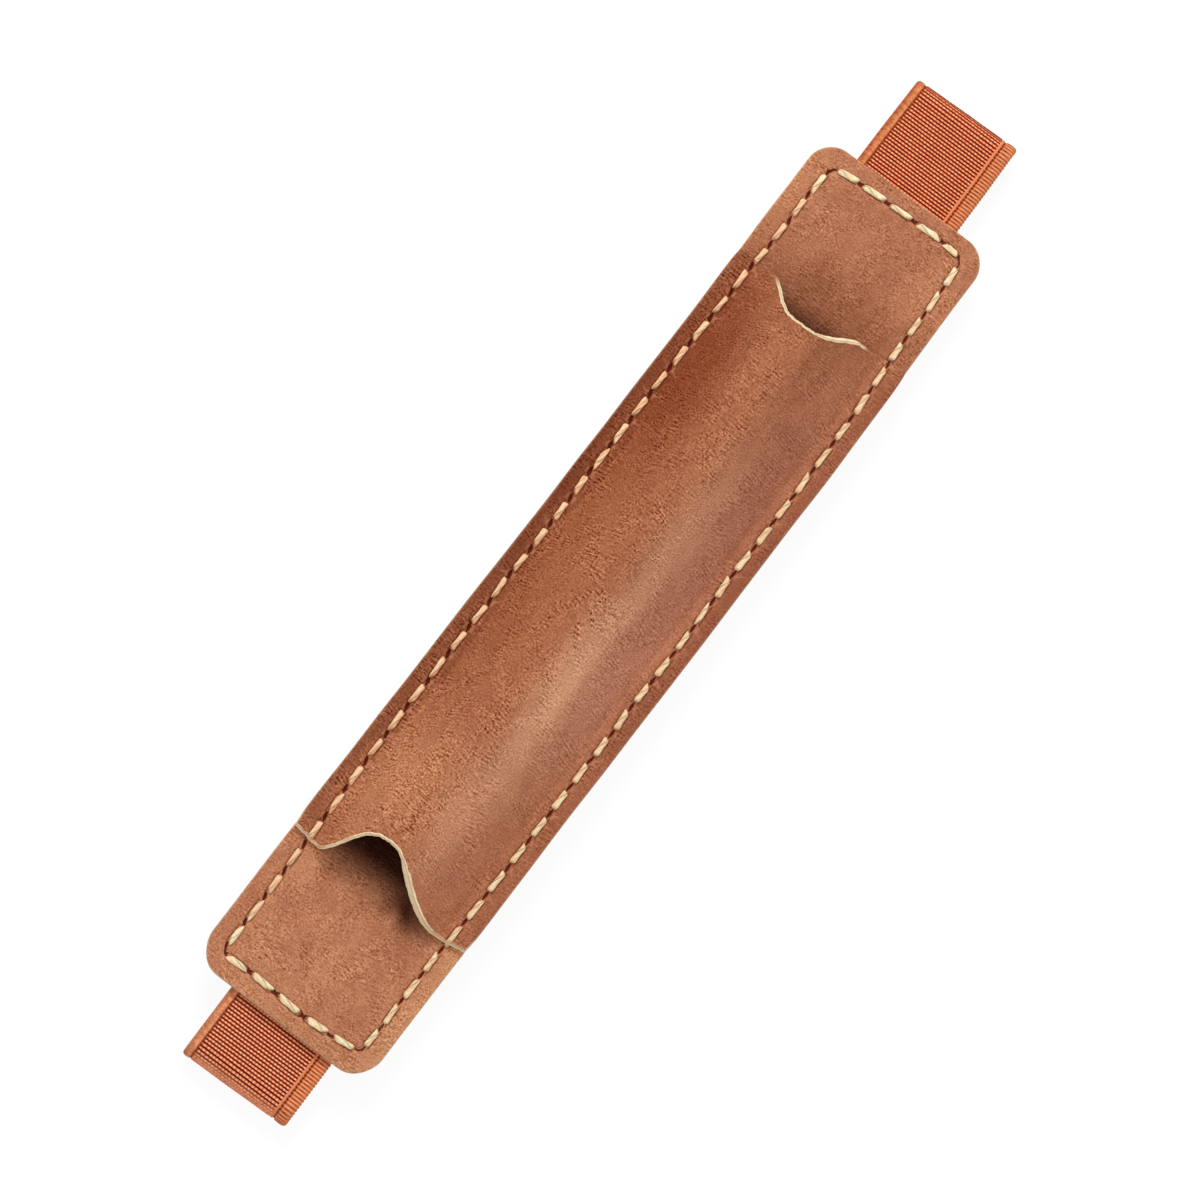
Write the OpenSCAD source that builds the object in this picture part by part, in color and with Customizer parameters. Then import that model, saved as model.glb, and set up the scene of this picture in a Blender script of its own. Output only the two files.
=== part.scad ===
// Leather sleeve with a formed pocket, on a loop of woven elastic.
// X runs across the sleeve, +Y runs to its top end and +Z is its front.
// The origin is in the middle of the surface that the loop rests on.

/* [Leather panels] */
// Width of both leather panels
panel_w = 34; // [30:0.5:50]
// Length of the base panel
panel_l = 170; // [140:1:220]
// Radius of the base panel's corners
corner_r = 5; // [3:0.5:8]
// Thickness of the base panel
base_t = 1.8; // [1.2:0.1:2.6]
// Thickness of the pocket panel
pocket_t = 1.4; // [1:0.1:2]

/* [Pocket] */
// Length of base panel left bare below the pocket
bare_bottom = 26.4; // [20:0.2:40]
// Length of base panel left bare above the pocket
bare_top = 24.4; // [18:0.2:40]
// Width of the flat border on each side of the channel
border_w = 4.5; // [4.2:0.1:6]
// Height of the channel under its crest
channel_h = 9.5; // [8:0.5:13]
// Inside radius of the channel's crest
crest_r = 5; // [3.5:0.5:6]
// Inside radius of the bend between the border and the channel
foot_r = 2.5; // [2.1:0.1:3.5]
// Distance of the crest to the left of the middle
crest_left = 2; // [0:0.5:4]
// Depth of the curved mouth at the pocket's bottom end
mouth_bottom_depth = 5.8; // [2:0.2:12]
// Depth of the curved mouth at the pocket's top end
mouth_top_depth = 6.3; // [2:0.2:12]
// Straight edge between the left border and each mouth
mouth_left_margin = 1.4; // [0.5:0.1:3]
// Straight edge between the right border and each mouth
mouth_right_margin = 3.2; // [0.5:0.1:5]

/* [Stitching] */
// Distance of the seam from the edge of the leather
seam_inset = 3.3; // [2.8:0.1:3.6]
// Spacing of the stitches
stitch_pitch = 5.4; // [4:0.1:7]
// Distance that the seam's corner holes are drawn in on both sides
corner_nip = 0.55; // [0:0.05:1]
// Width of the thread where it lies on the leather
thread_w = 1.1; // [0.8:0.05:1.3]
// Width of the thread inside the leather
thread_leg_w = 0.72; // [0.5:0.02:0.8]
// Diameter of the holes for the thread
awl_d = 1; // [0.9:0.05:1.3]

/* [Elastic strap] */
// Width of the elastic
strap_w = 20; // [14:1:24]
// Thickness of the elastic
strap_t = 1.2; // [0.8:0.1:2]
// Free height inside the loop
loop_gap = 4.4; // [4.2:0.1:9]
// Reach of the loop past the top edge of the leather
reach_top = 19.2; // [8:0.2:30]
// Reach of the loop past the bottom edge of the leather
reach_bottom = 12.7; // [8:0.1:30]
// Length of elastic sewn under each end of the leather
tail_l = 12; // [8:1:20]
// Turn of the strap out of line with the leather, in degrees
strap_skew = 0.55; // [0:0.05:1]

/* [Hidden] */

overrun = 0.6;
corner_fn = 64;
round_fn = 24;
crest_steps = 12;
foot_steps = 5;
mouth_steps = 10;
half_turn = 180;
quarter_turn = 90;

// Share of the thread's width that is left at the ends of a stitch
thread_end_share = 0.52;
// Share of the thread's radius inside the leather by which a stitch stops short of its hole's middle
stop_share = 0.3;
// Share of a stitch that tapers at each end
taper_share = 0.22;
// Share of the thread's width by which it rises over a hole
rise_share = 0.3;

leather = [0.69, 0.44, 0.32];
pocket_leather = [0.62, 0.37, 0.26];
elastic = [0.74, 0.42, 0.29];
thread = [0.95, 0.8, 0.6];

// Levels, from the surface that the loop rests on upwards
tail_z = strap_t + loop_gap;
base_z = tail_z + strap_t;
base_top_z = base_z + base_t;
border_top_z = base_top_z + pocket_t;
lock_z = base_z + base_t / 2;

// The loop is centred on the origin, and the leather lies where its two reaches put it
loop_l = panel_l + reach_top + reach_bottom;
panel_y = (reach_bottom - reach_top) / 2;
panel_top_y = panel_y + panel_l / 2;
panel_bottom_y = panel_y - panel_l / 2;
pocket_top_y = panel_top_y - bare_top;
pocket_bottom_y = panel_bottom_y + bare_bottom;

fold_inner_r = loop_gap / 2;
fold_outer_r = fold_inner_r + strap_t;
fold_y = loop_l / 2 - fold_outer_r;
fold_z = strap_t + fold_inner_r;

// Centres of the three arcs that the channel's section is drawn with, measured up from the base panel
foot_x = panel_w / 2 - border_w;
left_foot = [-foot_x, foot_r];
right_foot = [foot_x, foot_r];
crest = [-crest_left, channel_h - crest_r];

// Slope of the straight flank that touches a foot arc below and the crest arc above
function flank_angle(run, rise) = atan2(rise, run) + asin((crest_r + foot_r) / norm([run, rise]));
left_angle = flank_angle(crest.x - left_foot.x, crest.y - left_foot.y);
right_angle = flank_angle(right_foot.x - crest.x, crest.y - right_foot.y);

// The channel's section from left to right, a given thickness outside its inner face
function channel_line(t) = concat(
    [for (i = [0:foot_steps]) let (a = left_angle * i / foot_steps)
        left_foot + (foot_r - t) * [sin(a), -cos(a)]],
    [for (i = [0:crest_steps]) let (a = left_angle - (left_angle + right_angle) * i / crest_steps)
        crest + (crest_r + t) * [-sin(a), cos(a)]],
    [for (i = [foot_steps:-1:0]) let (a = right_angle * i / foot_steps)
        right_foot + (foot_r - t) * [-sin(a), -cos(a)]]
);

// One edge of a mouth from left to right, deepest under the crest
mouth_left_x = mouth_left_margin - foot_x;
mouth_right_x = foot_x - mouth_right_margin;
function mouth_line(depth) = [
    for (i = [-mouth_steps:mouth_steps]) let (u = i / mouth_steps)
        [
            crest.x + abs(u) * ((u < 0 ? mouth_left_x : mouth_right_x) - crest.x),
            depth * (1 + cos(half_turn * u)) / 2
        ]
];

// The seam's holes in order round the panel: one half, and the same half turned about the middle
seam_x = panel_w / 2 - seam_inset;
seam_y = panel_l / 2 - seam_inset;
nip_x = seam_x - corner_nip;
nip_y = seam_y - corner_nip;
side_count = round(2 * nip_y / stitch_pitch);
end_count = round(2 * nip_x / stitch_pitch);
function spaced(reach, count, i) = reach * (2 * i / count - 1);
side_holes = [
    for (i = [0:side_count])
        [i == 0 || i == side_count ? nip_x : seam_x, spaced(nip_y, side_count, i)]
];
end_holes = [for (i = [1:end_count - 1]) [-spaced(nip_x, end_count, i), seam_y]];
half_ring = concat(side_holes, end_holes);
ring = [for (turn = [1, -1], p = half_ring) turn * p + [0, panel_y]];
last = len(ring) - 1;
function after(i) = i == last ? 0 : i + 1;
function before(i) = i == 0 ? last : i - 1;

// A stitch lies on a layer when either of its holes comes this near to it
stitch_margin = (awl_d + thread_w) / 2;
function on_pocket(p) = p.y > pocket_bottom_y - stitch_margin && p.y < pocket_top_y + stitch_margin;
function across_strap(p) = p.x * cos(strap_skew) + p.y * sin(strap_skew);
function on_tail(p) = abs(across_strap(p)) < strap_w / 2 + stitch_margin
    && (p.y > panel_top_y - tail_l - stitch_margin || p.y < panel_bottom_y + tail_l + stitch_margin);
function front_level(i) = on_pocket(ring[i]) || on_pocket(ring[after(i)]) ? border_top_z : base_top_z;
function back_level(i) = on_tail(ring[i]) || on_tail(ring[after(i)]) ? tail_z : base_z;

module awl_holes(low, high) {
    for (p = ring)
        translate([p.x, p.y, low - overrun])
            cylinder(d = awl_d, h = high - low + 2 * overrun, $fn = round_fn);
}

module base_panel() {
    straight_w = panel_w - 2 * corner_r;
    straight_l = panel_l - 2 * corner_r;
    color(leather)
        difference() {
            translate([0, panel_y, base_z])
                linear_extrude(height = base_t)
                    union() {
                        square([panel_w, straight_l], center = true);
                        square([straight_w, panel_l], center = true);
                        for (x = [-1, 1], y = [-1, 1])
                            translate([x * straight_w / 2, y * straight_l / 2])
                                circle(r = corner_r, $fn = corner_fn);
                    }
            awl_holes(base_z, base_top_z);
        }
}

// What a mouth takes away, drawn from the pocket's end inwards
module mouth_cut(depth) {
    linear_extrude(height = channel_h + pocket_t + 2 * overrun)
        polygon(concat([[mouth_left_x, -overrun]], mouth_line(depth), [[mouth_right_x, -overrun]]));
}

module pocket_section() {
    difference() {
        polygon(concat(
            [[-panel_w / 2, 0], [-panel_w / 2, pocket_t]],
            channel_line(pocket_t),
            [[panel_w / 2, pocket_t], [panel_w / 2, 0]]
        ));
        polygon(concat([[left_foot.x, -overrun]], channel_line(0), [[right_foot.x, -overrun]]));
    }
}

module pocket_panel() {
    color(pocket_leather)
        difference() {
            translate([0, pocket_top_y, base_top_z])
                rotate([quarter_turn, 0, 0])
                    linear_extrude(height = pocket_top_y - pocket_bottom_y)
                        pocket_section();
            translate([0, pocket_bottom_y, base_top_z - overrun])
                mouth_cut(mouth_bottom_depth);
            translate([0, pocket_top_y, base_top_z - overrun])
                mirror([0, 1, 0])
                    mouth_cut(mouth_top_depth);
            awl_holes(base_top_z, border_top_z);
        }
}

// A straight stretch of the elastic, in line with the strap
module strip(low_y, high_y, z) {
    rotate([0, 0, strap_skew])
        translate([-strap_w / 2, low_y, z])
            cube([strap_w, high_y - low_y, strap_t]);
}

// The bend of the elastic at the top end of the loop
module fold() {
    translate([0, fold_y, fold_z])
        rotate([0, quarter_turn, 0])
            rotate_extrude(angle = half_turn, $fn = corner_fn)
                translate([fold_inner_r, -strap_w / 2])
                    square([strap_t, strap_w]);
}

module strap_top_tail() {
    color(elastic)
        difference() {
            strip(panel_top_y - tail_l, fold_y, tail_z);
            awl_holes(tail_z, base_z);
        }
}

module strap_bottom_tail() {
    color(elastic)
        difference() {
            strip(-fold_y, panel_bottom_y + tail_l, tail_z);
            awl_holes(tail_z, base_z);
        }
}

module strap_top_fold() {
    color(elastic)
        rotate([0, 0, strap_skew])
            fold();
}

module strap_bottom_fold() {
    color(elastic)
        rotate([0, 0, strap_skew + half_turn])
            fold();
}

module strap_rear_run() {
    color(elastic)
        strip(-fold_y, fold_y, 0);
}

// One stitch, half a spindle with its flat side on the leather, from the origin along X
module stitch(l) {
    mid_r = thread_w / 2;
    end_r = mid_r * thread_end_share;
    taper_l = l * taper_share;
    rotate([quarter_turn, 0, quarter_turn])
        rotate_extrude(angle = half_turn, $fn = round_fn)
            polygon([[0, 0], [end_r, 0], [mid_r, taper_l], [mid_r, l - taper_l], [end_r, l], [0, l]]);
}

// The stitch from hole i to the next hole, ending inside the thread in both
module laid_stitch(i) {
    run = ring[after(i)] - ring[i];
    stop = thread_leg_w / 2 * stop_share;
    translate([ring[i].x, ring[i].y, 0])
        rotate([0, 0, atan2(run.y, run.x)])
            translate([stop, 0, 0])
                stitch(norm(run) - 2 * stop);
}

// The thread inside hole i, between two levels
module leg(i, low, high) {
    translate([ring[i].x, ring[i].y, low])
        cylinder(d = thread_leg_w, h = high - low, $fn = round_fn);
}

module front_thread() {
    color(thread)
        union()
            for (i = [0:last]) {
                translate([0, 0, front_level(i)])
                    laid_stitch(i);
                leg(i, lock_z, max(front_level(i), front_level(before(i))) + thread_w * rise_share);
            }
}

module back_thread() {
    color(thread)
        union()
            for (i = [0:last]) {
                translate([0, 0, back_level(i)])
                    mirror([0, 0, 1])
                        laid_stitch(i);
                leg(i, min(back_level(i), back_level(before(i))) - thread_w * rise_share, lock_z);
            }
}

base_panel();
pocket_panel();
strap_top_tail();
strap_top_fold();
strap_rear_run();
strap_bottom_fold();
strap_bottom_tail();
front_thread();
back_thread();
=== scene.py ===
import math

import bpy
import numpy as np
from mathutils import Matrix, Vector


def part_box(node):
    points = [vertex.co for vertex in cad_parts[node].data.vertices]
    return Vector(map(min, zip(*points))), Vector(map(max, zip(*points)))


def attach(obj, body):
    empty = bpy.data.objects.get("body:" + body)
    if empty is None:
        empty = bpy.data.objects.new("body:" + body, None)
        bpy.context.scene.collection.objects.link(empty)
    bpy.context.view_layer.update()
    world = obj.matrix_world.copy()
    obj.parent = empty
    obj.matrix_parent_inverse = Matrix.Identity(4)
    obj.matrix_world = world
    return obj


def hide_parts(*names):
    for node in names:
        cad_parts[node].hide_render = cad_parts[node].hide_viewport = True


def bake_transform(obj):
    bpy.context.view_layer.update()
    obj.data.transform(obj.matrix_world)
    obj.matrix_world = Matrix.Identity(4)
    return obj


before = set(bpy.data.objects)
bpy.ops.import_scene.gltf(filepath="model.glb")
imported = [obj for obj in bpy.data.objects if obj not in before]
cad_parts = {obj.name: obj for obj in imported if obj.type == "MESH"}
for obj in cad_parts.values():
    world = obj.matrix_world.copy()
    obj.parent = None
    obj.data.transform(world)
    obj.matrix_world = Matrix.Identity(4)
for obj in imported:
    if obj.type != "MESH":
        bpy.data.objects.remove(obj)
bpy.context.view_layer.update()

MM = 0.001
TINY = 1e-9


def box_mm(node):
    """Lowest and highest corner of a CAD node, in millimetres."""
    return [np.array(corner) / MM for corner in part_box(node)]


# Places taken from the frame, in millimetres. Along the sleeve, y is counted from the middle of the leather
base_lo, base_hi = box_mm("base_panel")
run_lo, run_hi = box_mm("strap_rear_run")
pocket_hi = box_mm("pocket_panel")[1]
tail_lo = box_mm("strap_top_tail")[0]
lower_tail_hi = box_mm("strap_bottom_tail")[1]
HALF_W = base_hi[0]
HALF_L = (base_hi[1] - base_lo[1]) / 2
MIDDLE_Y = (base_hi[1] + base_lo[1]) / 2
BASE_T = base_hi[2] - base_lo[2]
BASE_TOP = base_hi[2]
BASE_BACK = base_lo[2]
TAIL_BACK = tail_lo[2]
STRAP_T = run_hi[2] - run_lo[2]

# Both leathers. A change is written as its amount and the stretch of x or y that it comes over, and
# some have a second stretch where they end. A wave is written as its height, length and seed
CORNER_R, TOP_LEFT_CORNER_R = 5.0, 4.4
TOP_PROUD, BOTTOM_PROUD = 0.14, 0.40
LIP_R, LIP_TURNS, LIP_CUT_SHARES = 0.34, (30, 60, 90), (0.35, 0.9, 1, 1, 1, 1)
SLANT, SLANT_OVER = math.tan(math.radians(1.6)), (10, 58)
SIDE_SHIFT, SIDE_BENDS = -0.1, [(0.18, (-60, 20)), (-0.48, (35, 80))]
LEFT_EDGE_WAVE, RIGHT_EDGE_WAVE = (0.08, 45, 3), (0.08, 52, 8)
EDGE_POWER, EDGE_MOST = 4, 1.2
LIE_WAVE = (0.10, 38, 5)
BACK_DIP_SHARE, SIDE_FADE = 0.7, 6

# Steps of the leathers' grids, and how far the fine ones reach from the seam and from an edge
FINE, FINE_ROW, COARSE = 0.15, 0.16, 0.4
FIRST_X, FLAT_STEP = 0.25, 0.5
BY_SEAM, BY_END_SEAM, BY_EDGE = 1.1, 0.9, 0.3
BETWEEN_SHARES = np.array([0.03, 0.07, 0.13, 0.24, 0.38, 0.5, 0.62, 0.76, 0.87, 0.93, 0.97, 1])

# Pocket: its formed channel, and how its rims flare, wander and are worn pale
POCKET_T = 1.4
CHANNEL_H = pocket_hi[2] - (BASE_TOP + POCKET_T)
POCKET_PROUD = 0.18
FOOT_X, FOOT_R = 12.7, 2.5
CREST_R, CREST_ENDS_X, CREST_WAVE = 5.0, (-2.7, -1.1), (0.25, 60, 21)
FOOT_POINTS, LEFT_FLANK_POINTS, CREST_POINTS, RIGHT_FLANK_POINTS = 7, 16, 27, 26
RIM_ZONES, RIM_STEP, BODY_STEP = (0.006, 0.994), 0.0008, 0.0029
RAISED_H, DENT_WAVE, DENT_SQUEEZE = 3, (0.13, 30, 12), 1.6
FLARE, FLARE_REACH = 0.22, 1.2
RIM_ROUND, RIM_SAMPLES = 0.9, 7
LOW_NIBBLE_WAVE, HIGH_NIBBLE_WAVE = (0.09, 1.9, 31), (0.09, 1.9, 32)
UNDERCUT, UNDERCUT_REACH, UNDERCUT_TURN = 1.5, 2.5, (1.15, (-3, 3))
TUCK, TUCK_REACH, TUCK_MOST, TUCK_POWER = 0.25, 1.5, 1.1, 9
WORN_W, WORN_RIGHT_W, WORN_FADE, WORN_WAVE = 0.13, 0.30, (0.5, 1.3), (0.5, 1.3, 44)
ARCH_OVER, ARCH_BELOW, DULL_BORDER = [(0, 3), (8, 10)], (40, 50), (0.6, (9, 12))

# Edges of the pocket: the border's line from left to right, and the mouth that is cut into it
BOTTOM_RIM = {
    "border": [(-17, -58.7), (-14.9, -58.9), (-11.9, -59.5), (10, -59.3), (12.3, -59.15), (17, -58.35)],
    "middle": -2.25, "left": 9.3, "right": 13.8, "left_power": 1.89, "right_power": 0.8, "depth": 6.6,
}
TOP_RIM = {
    "border": [(-17, 60.3), (-13, 60.1), (-10, 59.5), (9.5, 59.0), (13, 60.1), (17, 60.6)],
    "middle": -2.87, "left": 7.4, "right": 12.0, "left_power": 1.26, "right_power": 1.68, "depth": -5.3,
}

# Seam: where its stitches stop and how many lie between, and how it bows and shifts along the sides
STITCH_STOPS, STITCH_COUNTS = [-81.4, -60.5, 59.85, 81.0], [4, 22, 4]
TOP_HOLES = [
    (13.35, 80.9), (12.6, 81.8), (9.0, 82.3), (3.1, 82.2),
    (-2.2, 82.1), (-7.7, 82.0), (-12.4, 81.6), (-13.1, 80.6),
]
BOTTOM_HOLES = [
    (-13.8, -80.9), (-13.2, -81.9), (-8.4, -81.9), (-3.0, -82.1),
    (2.7, -82.3), (8.1, -82.1), (12.9, -81.3), (13.5, -80.8),
]
SEAM_X, SEAM_END = 13.7, 82.1
SEAM_BOW, BOW_OVER = 0.6, [(-68, -36), (40, 66)]
PAST_SEAM = SEAM_X + SEAM_BOW + BY_SEAM
RIGHT_SHIFT, LEFT_SHIFT = (0.4, (-52, -42), (22, 38)), (-0.4, (-8, 8))
LEFT_INSET = (0.35, (56, 68))
HOLE_UNEVEN, HOLE_SEED = 0.08, 6
CORNER_GAP = 2.0
GROOVE_DEPTH, GROOVE_W, HOLE_DEPTH, HOLE_POWER = 0.16, 0.62, 0.30, 3
SLIT_REACH = 0.18

# Stitches. Each shape has its bluntness, the slant of its ends and its bulge to one side
SIDE_SHARE, TOP_SHARE, BOTTOM_SHARE = 0.69, 0.84, 0.74
SIDE_SHAPES = [
    (6.0, 0.10, 0.08), (3.4, -0.10, -0.11), (8.0, -0.07, 0.05), (4.6, 0.10, -0.05), (3.2, 0.03, 0.15)
]
END_SHAPES = [(10.0, 0.08, 0.04), (7.0, -0.06, -0.05), (12.0, 0.04, 0.02), (8.0, 0.12, 0.05)]
THREAD_W, THREAD_H_SHARE, PLY_DEPTH = 1.02, 0.6, 0.09
THREAD_RISE_SHARE, THREAD_SINK, GROOVE_SHARE = 0.31, 0.12, 0.6
THREAD_TWIST, THREAD_LEAN = 0.42, 3
END_SINK, END_SINK_POWER = 0.7, 9
STEP_IN, STEP_OUT = (-0.75, 0.35), (-0.9, 0.2)
FRONT_SEED, BACK_SEED = 11, 29

# Elastic
STRAP_HALF_W, STRAP_SIDE = 10.0, 0.08
STRAP_SKEW, STRAP_SLIP = math.radians(0.55), -0.35
FOLD_POINTS = 49
FOLD_SLOPE, FOLD_SHIFT = (0.02, (80, 98)), (0.12, (86, 98))
FOLD_WIDER = (0.012, (70, 84), (88, 99))
ROW_LEAN = (0.026, 0.0155)
RIB_PITCH, RIB_ROWS, RIB_H = 0.601, 4, 0.09
CELL_PITCH = 0.66

# Half the elastic's thickness across its width: selvedge, groove, ribs, cord, groove, selvedge
STRAP_PROFILE = [
    (-10.0, 0.28), (-9.8, 0.50), (-9.45, 0.57), (-9.0, 0.58), (-8.75, 0.53), (-8.58, 0.40), (-8.40, 0.40),
    (-8.2, 0.47), (-5.5, 0.49), (-2.7, 0.50), (0.0, 0.50), (2.7, 0.50), (5.3, 0.49),
    (6.95, 0.48), (7.12, 0.44), (7.25, 0.54), (7.5, 0.56), (7.66, 0.40), (7.92, 0.36), (8.12, 0.54),
    (9.2, 0.59), (9.75, 0.52), (10.0, 0.28),
]

# Camera: its focal length is in pixels of a picture PICTURE_W wide, and its places are in millimetres
PICTURE_W, SENSOR_W = 1200, 36
CAMERA_TILT, CAMERA_TURN = 10.0, 37.57
CAMERA_SIDE, CAMERA_TARGET_Z = -0.28, 9.0
CAMERA_DISTANCE, CAMERA_FOCUS = 770.0, 4763.0

# Light, with distances in metres
ROOM_LIGHT = 0.64
LAMP_TOWARD = (-0.35, 0.46, 0.82)
LAMP_DISTANCE, LAMP_SIZE, LAMP_POWER = 0.8, 0.3, 3.2
FLOOR_REACH = 3.0
FLOOR_GLOW, FLOOR_GLOW_SHARE = 1.04, 0.88


def smooth(value, low, high):
    """0 below low, 1 above high, and an even bend between."""
    t = np.clip((value - low) / (high - low), 0, 1)
    return t * t * (3 - 2 * t)


def change(value, amount, over, end=None):
    """0, then the amount past the stretch over, and 0 again past the stretch end where there is one."""
    share = smooth(value, *over)
    if end:
        share = share * (1 - smooth(value, *end))
    return amount * share


def unit(vectors):
    return vectors / np.maximum(np.linalg.norm(vectors, axis=-1, keepdims=True), TINY)


def wander(t, height, length, seed):
    """Smooth noise along t within height of 0, with waves about as long as length."""
    rng = np.random.default_rng(seed)
    waves = [(length / (1 + 0.8 * i), 1 / (1 + i), rng.uniform(0, math.tau)) for i in range(4)]
    total = sum(share * np.sin(math.tau * t / wave + turn) for wave, share, turn in waves)
    return height * (total / sum(share for _, share, _ in waves))


def unevenness(x, y, height, length, seed):
    """Smooth noise over a surface, mostly within height of 0, with dents about as wide as length."""
    rng = np.random.default_rng(seed)
    ranges = ((0, math.pi), (0, math.tau), (0.6, 1.6))
    headings, turns, stretches = (rng.uniform(low, high, 9) for low, high in ranges)
    total = 0
    for heading, turn, stretch in zip(headings, turns, stretches):
        away = x * math.cos(heading) + y * math.sin(heading)
        total = total + np.sin(math.tau * away / (length * stretch) + turn)
    return height * (total / 5)


def slanted(points):
    """Moves points with y from the leather's middle into the frame, with the top end at its slant."""
    x, y, z = points[..., 0], points[..., 1], points[..., 2]
    return np.stack([x, y + SLANT * x * smooth(y, *SLANT_OVER) + MIDDLE_Y, z], -1)


def settled(points):
    """Moves points of the leather's flat pattern to where they lie, a little bent and with uneven edges."""
    x, y = points[..., 0], points[..., 1]
    bend = SIDE_SHIFT + sum(change(y, *part) for part in SIDE_BENDS)
    edge = np.where(x < 0, wander(y, *LEFT_EDGE_WAVE), wander(y, *RIGHT_EDGE_WAVE))
    lying = points.copy()
    lying[..., 0] = x + bend + edge * np.minimum((x / HALF_W) ** EDGE_POWER, EDGE_MOST)
    return slanted(lying)


def divided(stops, counts):
    """Places through the stops, with a given count of even steps from each stop to the next."""
    places = [stops[0]]
    for start, end, count in zip(stops, stops[1:], counts):
        places += [start + (end - start) * (i + 1) / count for i in range(count)]
    return np.array(places)


def graded(stops, end):
    """Places through the stops to the end, in even steps of about the size given at each stop."""
    places = [place for place, _ in stops] + [end]
    return divided(places, [max(1, round((b - a) / step)) for (a, step), b in zip(stops, places[1:])])


def mirrored(half):
    """A line of positive values, with its mirror image before it."""
    return np.concatenate([-half[::-1], half])


def seam_ring():
    """The seam's holes in order: up the right side, over the top, down the left side, along the bottom."""
    ys = divided(STITCH_STOPS, STITCH_COUNTS)[1:-1]
    xs = SEAM_X + change(ys, SEAM_BOW, *BOW_OVER)
    right = np.stack([xs, ys + change(ys, *RIGHT_SHIFT)], 1)
    left = np.stack([change(ys, *LEFT_INSET) - xs, ys + change(ys, *LEFT_SHIFT)], 1)
    uneven = np.random.default_rng(HOLE_SEED).uniform(-HOLE_UNEVEN, HOLE_UNEVEN, (2, len(ys)))
    right[:, 0] += uneven[0]
    left[:, 0] += uneven[1]
    return np.concatenate([right, TOP_HOLES, left[::-1], BOTTOM_HOLES])


RING = seam_ring()


def seam_place(x, y):
    """Where points lie by the seam: stitches passed along it, and millimetres inwards from it."""
    nearest = np.full(np.shape(x), math.inf)
    along = np.zeros(np.shape(x))
    across = np.zeros(np.shape(x))
    stitch = 0
    for start, end in zip(RING, np.roll(RING, -1, 0)):
        run = end - start
        length = np.hypot(*run)
        sewn = length > CORNER_GAP
        dx, dy = x - start[0], y - start[1]
        t = np.clip((dx * run[0] + dy * run[1]) / length**2, 0, 1)
        away = np.hypot(dx - t * run[0], dy - t * run[1])
        side = np.sign(run[0] * dy - run[1] * dx)
        closer = away < nearest
        nearest = np.where(closer, away, nearest)
        along = np.where(closer, stitch + t * sewn, along)
        across = np.where(closer, away * side, across)
        stitch += sewn
    return along, across


def seam_dip(along, across):
    """How far the tight thread has drawn the leather in."""
    at_hole = (0.5 + 0.5 * np.cos(math.tau * along)) ** HOLE_POWER
    return (GROOVE_DEPTH + HOLE_DEPTH * at_hole) * np.exp(-((across / GROOVE_W) ** 2))


def linked(piece):
    """Puts a new object into the scene."""
    bpy.context.scene.collection.objects.link(piece)
    return piece


def new_piece(name, points, faces, fields):
    """A mesh object from points in millimetres, with named values on its points."""
    mesh = bpy.data.meshes.new(name)
    mesh.from_pydata((points * MM).tolist(), [], faces)
    mesh.polygons.foreach_set("use_smooth", np.ones(len(mesh.polygons), bool))
    for field, values in fields.items():
        kind, key = ("FLOAT_VECTOR", "vector") if values.ndim == 2 else ("FLOAT", "value")
        layer = mesh.attributes.new(field, kind, "POINT")
        layer.data.foreach_set(key, values.astype(np.float32).ravel())
    mesh.update()
    return linked(bpy.data.objects.new(name, mesh))


def numbered(grid):
    """The numbers of a grid's points, in the grid's layout."""
    rows, cols = grid.shape[:2]
    return np.arange(rows * cols).reshape(rows, cols)


def leather_piece(name, face, back, up, pattern, worn):
    """A closed sheet of leather. Face and back are grids of points of one layout with upward directions up,
    and a rounded cut edge joins them. Pattern holds each point's place on the leather laid flat, and worn
    how far the face has been worn pale."""
    index = numbered(face)
    count = index.size
    quads = np.stack([index[:-1, :-1], index[:-1, 1:], index[1:, 1:], index[1:, :-1]], -1).reshape(-1, 4)
    loop = np.concatenate([index[0, :-1], index[:-1, -1], index[-1, :0:-1], index[:0:-1, 0]])
    top, low, normal = (grid.reshape(-1, 3)[loop] for grid in (face, back, up))
    out = unit(np.cross(np.roll(top, -1, 0) - np.roll(top, 1, 0), normal))
    turns = np.radians(LIP_TURNS)
    rings = [top + LIP_R * (math.sin(a) * out - (1 - math.cos(a)) * normal) for a in turns]
    rings += [low + LIP_R * (math.sin(a) * out + (1 - math.cos(a)) * normal) for a in turns[::-1]]
    ids = [loop] + [2 * count + len(loop) * i + np.arange(len(loop)) for i in range(len(rings))]
    ids.append(loop + count)
    walls = [np.stack([a, b, np.roll(b, -1), np.roll(a, -1)], 1) for a, b in zip(ids, ids[1:])]
    faces = np.concatenate([quads, quads[:, ::-1] + count] + walls)
    points = np.concatenate([face.reshape(-1, 3), back.reshape(-1, 3)] + rings)
    flat = pattern.reshape(-1, 3)
    places = [flat, flat - [0, 0, BASE_T]] + [flat[loop] + ring - top for ring in rings]
    side = np.clip(points[:, 0] / SIDE_FADE, -1, 1)
    return new_piece(name, settled(points), faces.tolist(), {
        "place": np.concatenate(places),
        "cut": np.concatenate([worn.ravel(), np.zeros(count), np.repeat(LIP_CUT_SHARES, len(loop))]),
        "flesh": np.repeat([0, 1, 0], [count, count, len(loop) * len(rings)]),
        "seam": np.stack([*seam_place(points[:, 0], points[:, 1]), side], 1),
    })


def lie(x, y):
    """Small waves that both sewn leathers share."""
    return unevenness(x, y, *LIE_WAVE)


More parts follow.
